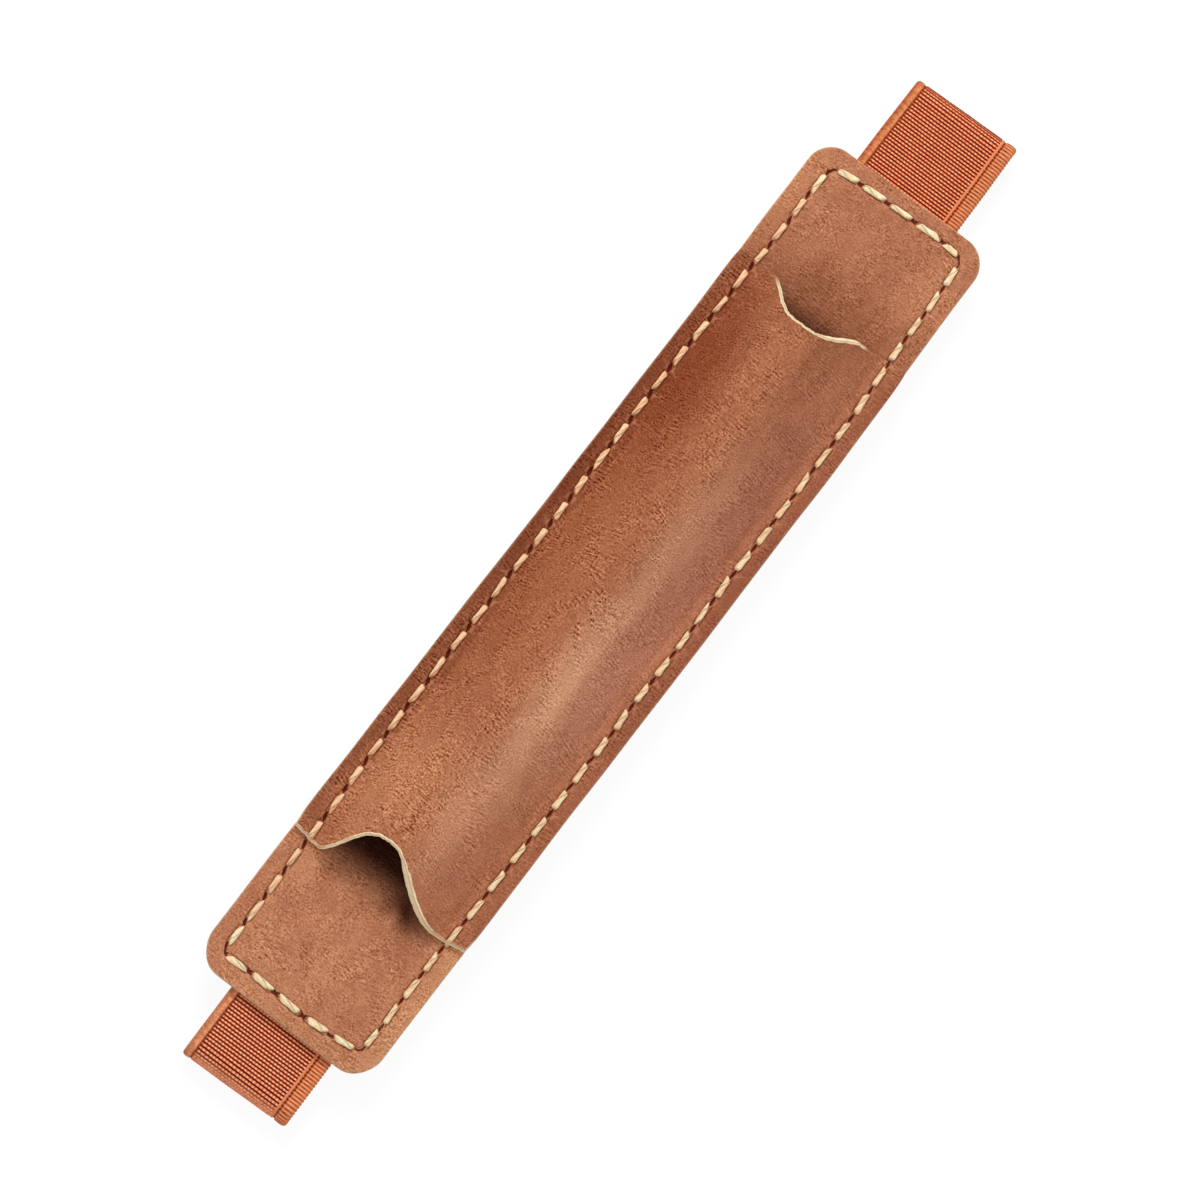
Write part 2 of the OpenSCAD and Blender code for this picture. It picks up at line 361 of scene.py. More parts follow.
def base_leather():
    """The base panel: a flat sheet with rounded corners, drawn in along the seam on both sides."""
    inset_w, inset_l = HALF_W - LIP_R, HALF_L - LIP_R
    past_end = SEAM_END + BY_END_SEAM
    half_x = [
        (FIRST_X, FLAT_STEP), (SEAM_X - BY_SEAM, FINE), (PAST_SEAM, COARSE), (inset_w - BY_EDGE, FINE)
    ]
    holes = divided(STITCH_STOPS, STITCH_COUNTS)
    rows = np.concatenate([start + (end - start) * BETWEEN_SHARES for start, end in zip(holes, holes[1:])])
    below = graded([(-inset_l, FINE), (BY_EDGE - inset_l, COARSE), (-past_end, FINE_ROW)], holes[0])
    above = graded([(holes[-1], FINE_ROW), (past_end, COARSE), (inset_l - BY_EDGE, FINE)], inset_l)
    x, y = np.meshgrid(mirrored(graded(half_x, inset_w)), np.concatenate([below, rows, above[1:]]))
    inset_r = np.where((x < 0) & (y > 0), TOP_LEFT_CORNER_R, CORNER_R) - LIP_R
    corner_x, corner_y = inset_w - inset_r, inset_l - inset_r
    a = np.clip((np.abs(x) - corner_x) / inset_r, 0, 1)
    b = np.clip((np.abs(y) - corner_y) / inset_r, 0, 1)
    both = (a > 0) & (b > 0)
    pull = np.where(both, np.maximum(a, b) / np.maximum(np.hypot(a, b), TINY), 1)
    x = np.where(both, np.sign(x) * (corner_x + a * pull * inset_r), x)
    y = np.where(both, np.sign(y) * (corner_y + b * pull * inset_r), y)
    dip = seam_dip(*seam_place(x, y))
    wave = lie(x, y)
    y = y + TOP_PROUD * smooth(y, SEAM_END, inset_l) - BOTTOM_PROUD * smooth(-y, SEAM_END, inset_l)
    face = np.stack([x, y, BASE_TOP + wave - dip], -1)
    back = np.stack([x, y, BASE_BACK + wave + BACK_DIP_SHARE * dip], -1)
    up = np.broadcast_to([0.0, 0.0, 1.0], face.shape)
    return leather_piece("base_leather", face, back, up, np.stack([x, y, 0 * x], -1), 0 * x)


def sharp_rim_y(rim, x):
    off = x - rim["middle"]
    left = np.clip(-off / rim["left"], 0, 1) ** rim["left_power"]
    right = np.clip(off / rim["right"], 0, 1) ** rim["right_power"]
    arch = rim["depth"] * (1 + np.cos(math.pi * (left + right))) / 2
    return np.interp(x, *zip(*rim["border"])) + arch


def rim_y(rim, x):
    """Where a rim of the pocket lies, for places x across the sleeve. Its corners are rounded off."""
    samples = np.linspace(-RIM_ROUND, RIM_ROUND, RIM_SAMPLES)
    return sum(sharp_rim_y(rim, x + away) for away in samples) / RIM_SAMPLES


def flank_angle(run, rise):
    return np.arctan2(rise, run) + np.arcsin((CREST_R + FOOT_R) / np.hypot(run, rise))


def channel_section(crest_x):
    """Points across the pocket's outer face for each crest place: border, foot arc, flank, crest arc and
    the same down the other side."""
    foot_outer, crest_outer = FOOT_R - POCKET_T, CREST_R + POCKET_T
    crest_z = CHANNEL_H - CREST_R
    left_turn = flank_angle(crest_x + FOOT_X, crest_z - FOOT_R)
    right_turn = flank_angle(FOOT_X - crest_x, crest_z - FOOT_R)

    def foot(side, turn, share):
        a = turn * share
        return side * FOOT_X - side * foot_outer * np.sin(a), FOOT_R - foot_outer * np.cos(a)

    def crest(turn):
        return crest_x - crest_outer * np.sin(turn), crest_z + crest_outer * np.cos(turn)

    def flank(start, end, count):
        return [tuple(p + (q - p) * t for p, q in zip(start, end)) for t in np.linspace(0, 1, count)[1:-1]]

    edge_x = HALF_W + POCKET_PROUD - LIP_R
    border = graded([(FOOT_X, FINE), (PAST_SEAM, COARSE), (edge_x - BY_EDGE, FINE)], edge_x)
    flat = 0 * crest_x
    columns = [(-b + flat, POCKET_T + flat) for b in border[:0:-1]]
    columns += [foot(-1, left_turn, t) for t in np.linspace(0, 1, FOOT_POINTS)]
    columns += flank(columns[-1], crest(left_turn), LEFT_FLANK_POINTS)
    columns += [crest(left_turn + (-right_turn - left_turn) * t) for t in np.linspace(0, 1, CREST_POINTS)]
    columns += flank(columns[-1], foot(1, right_turn, 1), RIGHT_FLANK_POINTS)
    columns += [foot(1, right_turn, t) for t in np.linspace(1, 0, FOOT_POINTS)]
    columns += [(b + flat, POCKET_T + flat) for b in border[1:]]
    return np.stack([x for x, _ in columns], 1), np.stack([z for _, z in columns], 1)


def pocket_leather():
    """The pocket panel: formed to a channel, with a mouth cut into both ends."""
    row_share = graded([(0, RIM_STEP), (RIM_ZONES[0], BODY_STEP), (RIM_ZONES[1], RIM_STEP)], 1)
    nominal_y = np.interp(row_share, [0, 1], [rim_y(BOTTOM_RIM, 0), rim_y(TOP_RIM, 0)])
    crest_x = np.interp(row_share, [0, 1], CREST_ENDS_X) + wander(nominal_y, *CREST_WAVE)
    x, z = channel_section(crest_x)
    low = rim_y(BOTTOM_RIM, x[0]) + wander(x[0], *LOW_NIBBLE_WAVE)
    high = rim_y(TOP_RIM, x[-1]) - SLANT * x[-1] + wander(x[-1], *HIGH_NIBBLE_WAVE)
    y = low + (high - low) * row_share[:, None]
    plain = np.stack([x, y, BASE_TOP + z], -1)
    normal = unit(np.cross(np.gradient(plain, axis=1), np.gradient(plain, axis=0)))
    raised = smooth(z, POCKET_T, POCKET_T + RAISED_H)
    rim_near = np.minimum(y - low, high - y)
    height = lie(x, y) + raised * unevenness(x * DENT_SQUEEZE, y, *DENT_WAVE)
    height = height + FLARE * raised * np.exp(-rim_near / FLARE_REACH)
    face = plain + normal * (height - seam_dip(*seam_place(x, y)))[..., None]
    back = plain + normal * (height - POCKET_T)[..., None]
    undercut = UNDERCUT * np.abs(normal[..., 0]) * (1 - change(x, *UNDERCUT_TURN))
    back[..., 1] += undercut * (np.exp((low - y) / UNDERCUT_REACH) - np.exp((y - high) / UNDERCUT_REACH))
    tuck = TUCK * np.exp(-rim_near / TUCK_REACH) * np.clip(x / HALF_W, -TUCK_MOST, TUCK_MOST) ** TUCK_POWER
    face[..., 0] -= tuck
    back[..., 0] -= tuck
    steps = np.linalg.norm(np.diff(plain[..., [0, 2]], axis=1), axis=-1)
    girth = np.concatenate([np.zeros((len(y), 1)), np.cumsum(steps, 1)], 1)
    girth = girth - girth[:, -1:] / 2
    worn_w = WORN_W + change(x, WORN_RIGHT_W - WORN_W, *ARCH_OVER) * smooth(-y, *ARCH_BELOW)
    worn_w = worn_w * (1 + unevenness(x, y, *WORN_WAVE))
    worn = 1 - smooth(rim_near, *(worn_w * share for share in WORN_FADE))
    worn = np.clip(worn * (1 - change(np.abs(x), *DULL_BORDER)), 0, 1)
    return leather_piece("pocket_leather", face, back, normal, np.stack([girth, y, 0 * y], -1), worn)


def strap_loop():
    """The elastic's middle line from its top end round the back to its bottom end: y, z, turn, length."""
    middle_r = TAIL_BACK / 2
    fold_y = run_hi[1]
    turns = np.radians(np.linspace(90, -90, FOLD_POINTS))
    lower_turns = turns - math.pi
    turn = np.concatenate([turns[:1], turns, lower_turns, lower_turns[-1:]])
    upper_fold, lower_fold = fold_y + middle_r * np.cos(turns), -fold_y + middle_r * np.cos(lower_turns)
    y = np.concatenate([[tail_lo[1]], upper_fold, lower_fold, [lower_tail_hi[1]]])
    z = STRAP_T / 2 + middle_r + middle_r * np.sin(turn)
    length = np.concatenate([[0], np.cumsum(np.hypot(np.diff(y), np.diff(z)))])
    return y + STRAP_SLIP, z, turn, length


def strap_mesh():
    """The elastic as one strip round its loop, without its ribs."""
    loop_y, loop_z, loop_turn, length = strap_loop()
    s = np.linspace(0, length[-1], round(length[-1] / RIB_PITCH * RIB_ROWS) + 1)
    y, z, turn = (np.interp(s, length, values)[:, None] for values in (loop_y, loop_z, loop_turn))
    u, half = np.array(STRAP_PROFILE).T
    u = np.concatenate([u, [u[-1] + STRAP_SIDE], u[::-1], [u[0] - STRAP_SIDE]])
    off = np.concatenate([half, [0], -half[::-1], [0]])
    points = np.stack([u + 0 * y, y + off * np.cos(turn), z + off * np.sin(turn)], -1)
    index = numbered(points)
    ahead = np.roll(index, -1, 1)
    faces = np.stack([index[:-1], index[1:], ahead[1:], ahead[:-1]], -1).reshape(-1, 4)
    flat = len(STRAP_PROFILE)
    outer, inner = np.arange(flat), 2 * flat - np.arange(flat)
    cap = [[outer[i], outer[i + 1], inner[i + 1], inner[i]] for i in range(flat - 1)]
    cap += [[index[0, -1], outer[0], inner[0]], [outer[-1], flat, inner[-1]]]
    far_cap = [[v + index[-1, 0] for v in reversed(corners)] for corners in cap]
    row_lean = np.interp(s, [0, s[-1]], ROW_LEAN)[:, None]
    weave = np.stack([u + 0 * y, s[:, None] + row_lean * u, np.abs(np.cos(turn)) + 0 * u], -1)
    points[..., 1] += points[..., 0] * change(-y, *FOLD_SLOPE) + change(-y, *FOLD_SHIFT)
    points[..., 0] *= 1 + change(y, *FOLD_WIDER)
    across, along, up = points.reshape(-1, 3).T
    lying = np.stack([
        across * math.cos(STRAP_SKEW) - along * math.sin(STRAP_SKEW),
        across * math.sin(STRAP_SKEW) + along * math.cos(STRAP_SKEW) - MIDDLE_Y,
        up,
    ], 1)
    faces = faces.tolist() + cap + far_cap
    return new_piece("elastic_strap", slanted(lying), faces, {"weave": weave.reshape(-1, 3)})


def maths(operation, last=False):
    """A method that adds a Math node, with its socket as the first term or else the last."""
    def method(socket, *others):
        terms = (*others, socket) if last else (socket, *others)
        return socket.nodes.add("ShaderNodeMath", {"operation": operation}, dict(enumerate(terms)))
    return method


class Socket:
    """An output of a node. Sums with it add Math nodes to its tree."""

    def __init__(self, nodes, output):
        self.nodes = nodes
        self.output = output

    __add__ = __radd__ = maths("ADD")
    __sub__ = maths("SUBTRACT")
    __rsub__ = maths("SUBTRACT", last=True)
    __mul__ = __rmul__ = maths("MULTIPLY")
    __truediv__ = maths("DIVIDE")
    __pow__ = maths("POWER")
    __rpow__ = maths("POWER", last=True)
    __abs__ = maths("ABSOLUTE")
    rounded = maths("ROUND")
    sine = maths("SINE")
    cosine = maths("COSINE")
    angle_from = maths("ARCTAN2")
    at_most = maths("MINIMUM")
    at_least = maths("MAXIMUM")

    def swell(self):
        """A cosine that runs from 0 to 1."""
        return self.cosine() * 0.5 + 0.5

    def falloff(self):
        """1 at zero, falling off like a bell to 0."""
        return math.exp(-1) ** self

    def step(self, low, high):
        """0 below low, 1 above high, with an even bend between."""
        return self.nodes.add("ShaderNodeMapRange", {"interpolation_type": "SMOOTHSTEP"}, {
            "Value": self, "From Min": low, "From Max": high
        })

    def near(self, low, high):
        """1 within low of zero on either side, and 0 beyond high."""
        return 1 - abs(self).step(low, high)

    def hump(self, up, down):
        """0, then 1 from the stretch up to the stretch down, then 0 again."""
        return self.step(*up) * (1 - self.step(*down))

    def band(self, low, high, edge=0.06):
        """1 between low and high, with soft edges."""
        return self.hump((low - edge, low + edge), (high - edge, high + edge))


class Nodes:
    """A node tree, for a material or for a shape."""

    def __init__(self, tree):
        self.tree = tree
        tree.nodes.clear()

    def add(self, kind, settings=None, sockets=None, output=None):
        """Adds a node, its settings first, then its sockets' values and links, and returns one output."""
        node = self.tree.nodes.new(kind)
        for name, value in (settings or {}).items():
            setattr(node, name, value)
        for name, value in (sockets or {}).items():
            if isinstance(name, int):
                target = node.inputs[name]
            else:
                target = next(s for s in node.inputs if s.enabled and s.name == name)
            if isinstance(value, Socket):
                self.tree.links.new(value.output, target)
            else:
                target.default_value = value
        outputs = [s for s in node.outputs if s.enabled and output in (None, s.name)]
        return Socket(self, outputs[0]) if outputs else None

    def split(self, vector):
        return [self.add("ShaderNodeSeparateXYZ", None, {"Vector": vector}, axis) for axis in "XYZ"]

    def join(self, x, y, z=0.0):
        return self.add("ShaderNodeCombineXYZ", None, {"X": x, "Y": y, "Z": z})

    def vector(self, operation, *terms):
        return self.add("ShaderNodeVectorMath", {"operation": operation}, dict(enumerate(terms)))

    def noise(self, place, stretch, detail=2.0, roughness=0.5, distortion=0.0):
        """Noise from 0 to 1. Stretch gives how many waves it has in a millimetre along X, Y and Z."""
        return self.add("ShaderNodeTexNoise", None, {
            "Vector": self.vector("MULTIPLY", place, stretch), "Scale": 1.0, "Detail": detail,
            "Roughness": roughness, "Distortion": distortion
        }, "Fac")

    def mix(self, share, first, second):
        """A colour between two others."""
        sockets = {"Factor": share, "A": first, "B": second}
        return self.add("ShaderNodeMix", {"data_type": "RGBA"}, sockets, "Result")

    def scaled(self, colour, factor):
        return self.add("ShaderNodeVectorMath", {"operation": "SCALE"}, {"Vector": colour, "Scale": factor})


def tone(red, green, blue):
    """A colour given in the usual 0 to 255, as a shader takes it."""
    parts = [c / 255 for c in (red, green, blue)]
    return (*[c / 12.92 if c <= 0.04045 else ((c + 0.055) / 1.055) ** 2.4 for c in parts], 1.0)


class Finish(Nodes):
    """A material made of nodes."""

    def __init__(self, name):
        self.material = bpy.data.materials.new(name)
        self.material.use_nodes = True
        super().__init__(self.material.node_tree)

    def attribute(self, name, output="Vector"):
        return self.add("ShaderNodeAttribute", {"attribute_name": name}, None, output)

    def body_place(self):
        """The point's place across the sleeve and along it from the leather's middle, in millimetres."""
        place = self.add("ShaderNodeTexCoord", None, None, "Object")
        x, y, _ = self.split(self.scaled(place, 1 / MM))
        return x, y - MIDDLE_Y

    def surface(self, **sockets):
        """The shader that ends the material. Sockets are named in plain words, such as base_color."""
        named = {name.replace("_", " ").title().replace("Ior", "IOR"): sockets[name] for name in sockets}
        shader = self.add("ShaderNodeBsdfPrincipled", None, named)
        self.add("ShaderNodeOutputMaterial", None, {"Surface": shader})
        return self.material

    def bump(self, height, distance):
        sockets = {"Height": height, "Distance": distance * MM, "Strength": 1.0}
        return self.add("ShaderNodeBump", None, sockets)


def patch(x, y, middle, reach):
    """A soft oval area: 1 at its middle, about a third at its reach, and fading to 0 beyond."""
    dx = (x - middle[0]) / reach[0]
    dy = (y - middle[1]) / reach[1]
    return (dx * dx + dy * dy).falloff()


# Tones of the leathers, a few of them painted shade and painted highlights: colour, middle (across, along),
# reach (across, along) and strength
BASE_TONES_AND_PAINTED_SHADE = [
    ((198, 132, 90), (-17, 72), (3.5, 30), 0.5),
    ((212, 150, 106), (17, -74), (3.5, 26), 0.6),
    ((204, 138, 98), (0, -86), (30, 4), 0.5),
    # Painted shade on the base beyond the pocket's top mouth
    ((138, 78, 50), (0, 62), (26, 8), 0.75),
    # Painted shadow of the pocket's arch, right of the bottom mouth
    ((66, 20, 6), (5.4, -59.6), (3.6, 3.0), 0.9),
    ((160, 96, 68), (0, 78), (16, 10), 0.5),
]
POCKET_TONES_AND_PAINTED_LIGHT = [
    # Dark left flank: the leather's darker pull-up tone together with painted shade
    ((128, 58, 28), (-11, 37), (6, 26), 0.9),
    ((156, 86, 50), (-9, -2), (6, 32), 0.6),
    # Painted shade in the fold along the channel's left foot
    ((124, 58, 28), (-13.2, -5), (0.45, 85), 0.5),
    # Light streak right of the crest: the stretched leather's paler pull-up tone together with a painted
    # highlight
    ((212, 146, 112), (4.2, 12), (3.2, 18), 0.65),
    ((222, 160, 122), (4, -17), (3.2, 18), 0.9),
    ((212, 146, 110), (3.4, -42), (4.4, 13), 0.75),
    ((200, 134, 106), (9.5, -14), (3.6, 18), 0.55),
    ((176, 112, 90), (9.5, 20), (4.0, 30), 0.55),
    ((180, 112, 84), (8.5, -46), (3, 8), 0.6),
    ((198, 130, 90), (-8, -44), (7, 10), 0.7),
    ((112, 50, 26), (-16.4, 14), (2.2, 48), 0.9),
    ((134, 74, 46), (-16.4, -36), (2.2, 26), 0.8),
    ((144, 80, 56), (16.6, 10), (2.0, 60), 0.8),
]
BASE_LIGHT, BASE_DARK = tone(202, 136, 98), tone(166, 100, 70)
POCKET_LIGHT, POCKET_DARK = tone(186, 118, 82), tone(150, 86, 58)


def sewn(f, colour, x, y, blotches):
    """Adds to a colour what the seam does to the leather: the needle's slits, painted dark as the shade in
    them, painted shadow beside each stitch, painted highlights on the lips of the holes and pale lines
    fanning out from them.
    Returns the colour, where the slits are and how far the seam is, which the creases follow."""
    along, across, side = f.split(f.attribute("seam"))
    from_hole = along - along.rounded()
    in_end_row = abs(y).step(81.0, 81.5)
    share = abs(from_hole) / (SLIT_REACH - in_end_row * (0.03 + y.step(-1.0, 1.0) * 0.03))
    pointed = 1 - share.at_most(1.0) ** 2.0
    which = along.rounded() + across.step(-0.1, 0.1) * 50.5
    lot = f.add("ShaderNodeTexWhiteNoise", {"noise_dimensions": "1D"}, {"W": which}, "Value")
    in_corner = abs(x).step(12.1, 12.5) * abs(y).step(80.3, 80.8)
    swing = (lot * 37.0).cosine()
    leaning = (side - 1.0) * (1.0 - in_end_row) * 0.65 + swing * (in_end_row + 0.7) + in_end_row * 2.6
    aside = from_hole * leaning
    off_slit = abs(across + aside).at_most(abs(across - aside) + (1.0 - in_end_row) * 9.0)
    slit = 1 - (off_slit / (pointed * (0.25 - in_corner * 0.1 - side * 0.03) + 0.02)).step(0.6, 1.15)
    slit = slit * (1 - share.step(0.8, 1.0))
    painted_stitch_shadow = (abs(across) - 0.52).near(0.05, 0.22) * abs(from_hole).step(0.08, 0.18)
    lip = (abs(across) - 0.62).near(0.1, 0.3) * from_hole.near(0.04, 0.16)
    ray = from_hole * 5.4 - swing * 1.1 * (abs(across) - 0.6) + (blotches - 0.5) * 1.2
    ray_line = ray.near(0.04, 0.3) * abs(across).step(0.5, 0.8) * across.near(0.9, 2.4)
    # Painted highlight on the raised lips of the holes
    colour = f.mix(lip * 0.35, colour, tone(214, 150, 112))
    # Painted shadow beside each stitch
    colour = f.mix(painted_stitch_shadow * 0.62, colour, tone(104, 46, 14))
    # The slits, painted dark as the shade inside them
    colour = f.mix(slit * (0.97 - in_end_row * 0.05), colour, tone(84, 12, 0))
    colour = f.mix(ray_line * lot.step(0.5, 0.6) * 0.3, colour, tone(220, 160, 124))
    return colour, slit, across


def leather_finish(name, light, dark, tones_and_painted_light, covered_and_shaded=False):
    """Waxed pull-up leather: mottled and finely streaked, with pale cut edges, a rough back, and painted
    shade and highlights by the seam. With the flag set, it gets painted shade, almost black, where the
    pocket stands over it."""
    f = Finish(name)
    place = f.attribute("place")
    cut = f.attribute("cut", "Fac")
    flesh = f.attribute("flesh", "Fac")
    x, y = f.body_place()
    clouds = f.noise(place, (0.10, 0.045, 0.1), 3.0, 0.55, 0.6)
    blotches = f.noise(place, (0.42, 0.30, 0.4), 3.0, 0.6, 0.3)
    warp = (f.noise(place, (0.07, 0.05, 0.1), 1.0) - 0.5) * 6.0
    bent = f.vector("ADD", place, f.join(0.0, warp))
    streaks = f.noise(bent, (0.8, 2.2, 1.0), 2.0, 0.6, 0.4).step(0.3, 0.7)
    where_streaks = f.noise(place, (0.14, 0.11, 0.1), 2.0).step(0.36, 0.62)
    right, up, _ = f.split(bent)
    ripples = ((up * 1.6 + f.noise(place, (0.5, 0.4, 0.4), 2.0) * 1.8) * math.tau).cosine()
    beads = ((right * 1.45 + f.noise(place, (0.4, 0.5, 0.4), 2.0) * 1.6) * math.tau).cosine()
    ripples = (ripples + beads * 0.45) * f.noise(place, (0.4, 0.45, 0.4), 1.0).step(0.42, 0.6)
    calm = f.noise(place, (0.28, 0.24, 0.3), 2.0, 0.6).step(0.38, 0.56) * 0.55 + 0.45
    pores = f.noise(place, (2.8, 3.0, 1.8), 1.5, 0.6, 0.3).step(0.28, 0.72)
    flecks = f.noise(bent, (1.3, 3.2, 2.0), 1.0, 0.5, 0.6).step(0.6, 0.74)

    wobble = (f.noise(place, (0.16, 0.05, 0.1), 2.0) - 0.5) * 5.0
    colour = f.mix((clouds - 0.5) * 1.5 + (blotches - 0.5) * 0.9 + 0.5, dark, light)
    # Soft patches of tone, with painted light and shade among them
    for patch_colour, middle, reach, strength in tones_and_painted_light:
        area = patch(x + wobble, y + wobble * 2.0, middle, reach)
        colour = f.mix(area * strength, colour, tone(*patch_colour))
    if covered_and_shaded:
        # Painted shade, almost black, on the base where the pocket stands over it and a little past its
        # mouths
        under = y.hump((-60.5, -54.5), (55.5, 61.5)) * x.near(9.0, 12.5)
        colour = f.mix(under * 0.95, colour, tone(44, 4, 0))
        pale_edges, strength, rippling = 0.3, 1.1, 0.10
    else:
        dull = abs(x).step(8.0, 10.0) * (y.step(-57.5, -55.5) * 0.75 + y.step(50.0, 58.0) * 0.2)
        pale_edges, strength, rippling = 1 - dull, 1.5 - x.step(-1.5, 4.5) * 0.65, 0.20
    speckle = (streaks - 0.5) * (0.12 + 0.24 * where_streaks) + (pores - 0.5) * 0.5
    speckle = (speckle + ripples * where_streaks * rippling + flecks * 0.2) * calm * strength * 1.3
    speckle = speckle + (blotches - 0.5) * 0.2 + 0.07
    lift = f.join(1.0 + speckle * 0.95, 1.0 + speckle * 1.35, 1.0 + speckle * 1.8)
    colour = f.vector("MULTIPLY", colour, lift)
    hair_line = (f.noise(place, (0.16, 0.24, 0.3), 1.0, 0.5, 0.8) - 0.5).near(0.001, 0.007)
    some = f.noise(place, (0.20, 0.17, 0.2), 1.0).step(0.55, 0.66)
    colour = f.mix(hair_line * some * 0.22, colour, tone(226, 168, 132))

    colour, slit, from_seam = sewn(f, colour, x, y, blotches)
    fibres = f.noise(place, (1.4, 1.4, 5.0), 3.0, 0.6).step(0.3, 0.7)
    edge_colour = f.mix(fibres, tone(255, 222, 172), tone(255, 246, 208))
    colour = f.mix(cut * pale_edges, colour, edge_colour)
    nap = f.noise(place, (1.1, 1.6, 1.0), 4.0, 0.7)
    colour = f.mix(flesh, colour, f.mix(nap, tone(150, 104, 74), tone(204, 158, 120)))

    creases = f.noise(place, (0.22, 1.3, 0.6), 2.0, 0.55, 0.8) * from_seam.near(0.8, 3.4) * 1.6
    height = streaks * (0.4 + 0.6 * where_streaks) + pores * 0.6 + flecks * 0.4 + creases
    return f.surface(
        base_color=colour,
        roughness=(0.6 + (blotches - 0.5) * 0.2 + flesh * 0.3 + cut * 0.15),
        specular_ior_level=0.08,
        normal=f.bump(height * (1 - slit) + nap * flesh * 1.5, 0.12),
    )


def elastic_finish():
    """Woven elastic: rows of small raised cells and a cord, between a smooth and a ribbed selvedge."""
    f = Finish("woven_elastic")
    weave = f.attribute("weave")
    across, along, bent = f.split(weave)
    fuzz = f.noise(weave, (3.0, 5.0, 1.0), 3.0, 0.7)
    drift = f.noise(weave, (0.25, 0.4, 0.2), 2.0)
    lumps = f.noise(weave, (1.1, 1.7, 1.0), 2.0).step(0.3, 0.7)
    row = along / RIB_PITCH
    number = row.rounded()
    row_shape = ((row + (fuzz - 0.5) * 0.12) * math.tau).swell().step(0.2, 0.72)
    offset = abs(number - (number * 0.5).rounded() * 2.0) * 0.5
    cell = ((across / CELL_PITCH + offset + (drift - 0.5) * 1.5) * math.tau).swell()
    # Rows: the weave's own colour, with the gaps between the rows painted dark as shade
    light = row_shape * (0.66 + 0.34 * cell.step(0.0, 0.6))
    colour = f.mix(light, tone(104, 8, 0), tone(250, 130, 78))
    at_bottom_end = along.step(150.0, 250.0)
    glint = row_shape * (cell * 0.95 + 0.05) * (lumps * 0.8 + fuzz * 0.5 + at_bottom_end * 0.35)
    colour = f.mix(glint.at_most(1.0) * 0.92, colour, tone(255, 192, 150))
    # At the ends of the folds: painted shade on the top fold, and paler wear on the bottom fold
    fold_shade_and_wear = bent.step(0.5, 0.97) * (0.35 + at_bottom_end * 0.4)
    fold_shade_and_wear_tone = f.mix(at_bottom_end, tone(168, 66, 34), tone(255, 166, 122))
    colour = f.mix(fold_shade_and_wear, colour, f.scaled(fold_shade_and_wear_tone, 0.68 + lumps * 0.35 + cell * 0.3))

    smooth_part = f.mix(across.step(-9.8, -8.95), tone(178, 94, 58), tone(218, 134, 86))
    smooth_part = f.mix(at_bottom_end * 0.25, smooth_part, tone(240, 176, 140))
    smooth_part = f.scaled(smooth_part, 0.30 + lumps * 0.5 + fuzz * 0.85)
    colour = f.mix(across.band(-12.0, -8.6), colour, smooth_part)
    # Ribbed selvedge: its own colour, with the gaps between the ribs painted dark as shade
    ribs = (row * math.tau).swell().step(0.1, 0.75) * 0.8 + lumps * 0.2
    ribbed = f.mix(ribs, tone(120, 38, 8), tone(250, 158, 108))
    outer = across.step(8.6, 9.9) * 0.45 + across.band(8.0, 8.3, 0.08) * 0.4
    ribbed = f.mix(outer, ribbed, f.mix(fuzz, tone(186, 100, 62), tone(246, 154, 106)))
    colour = f.mix(across.band(8.0, 12.0), colour, f.scaled(ribbed, 0.92 + at_bottom_end * 0.1))
    cord = f.mix(fuzz, tone(200, 104, 60), tone(252, 160, 112))
    colour = f.mix(across.band(7.16, 7.56), colour, cord)
    # Painted shade in the grooves beside the cord and beside the smooth selvedge
    shaded_grooves = across.band(-8.70, -8.32) + across.band(7.62, 7.94)
    colour = f.mix(shaded_grooves.at_most(1.0) * 0.8, colour, tone(128, 38, 4))
    woven = across.band(-8.3, 7.1)
    return f.surface(
        base_color=f.scaled(colour, 0.76 + drift * 0.2 + fuzz * 0.36),
        roughness=0.68 + fuzz * 0.2,
        specular_ior_level=0.03,
        normal=f.bump(light * woven * 0.8 + fuzz * 0.3 + lumps * 0.2, 0.1),
    )


def thread_finish():
    """Waxed thread, with fibres along it, and painted shade between its plies and at the ends of each
    stitch, where it goes into the leather. It is cream at both ends of the sleeve and towards its right
    side, and orange elsewhere."""
    f = Finish("waxed_thread")
    share, turn, _ = f.split(f.attribute("strand"))
    lot = f.attribute("lot", "Fac")
    across, along = f.body_place()
    plies = (turn * 2.0 + lot * 6.0).swell()
    fibre = f.join(share * 3.0 + lot * 40.0, turn.cosine() * 2.2, turn.sine() * 2.2)
    lines = f.noise(fibre, (1, 1, 1), 2.0, 0.6).step(0.38, 0.62)
    cream = (across.step(-9.0, 9.0) * 0.45 + abs(along).step(70.0, 80.0)).at_most(1.0)
    light = f.mix(cream, tone(255, 230, 188), tone(255, 248, 212))
    dark = f.mix(cream, tone(246, 158, 100), tone(255, 206, 140))
    # Painted shade between the plies
    colour = f.mix(plies.step(0.0, 0.4) * 0.35 + lines * 0.65, dark, light)
    # Painted shade where each stitch goes into the leather
    shaded_ends = abs(share - 0.5).step(0.40, 0.5)
    return f.surface(
        base_color=f.mix(shaded_ends * 0.45, colour, tone(206, 128, 72)),
        roughness=0.55 + lines * 0.15,
        specular_ior_level=0.2,
        normal=f.bump(lines * 0.6 + plies * 0.5, 0.08),
    )


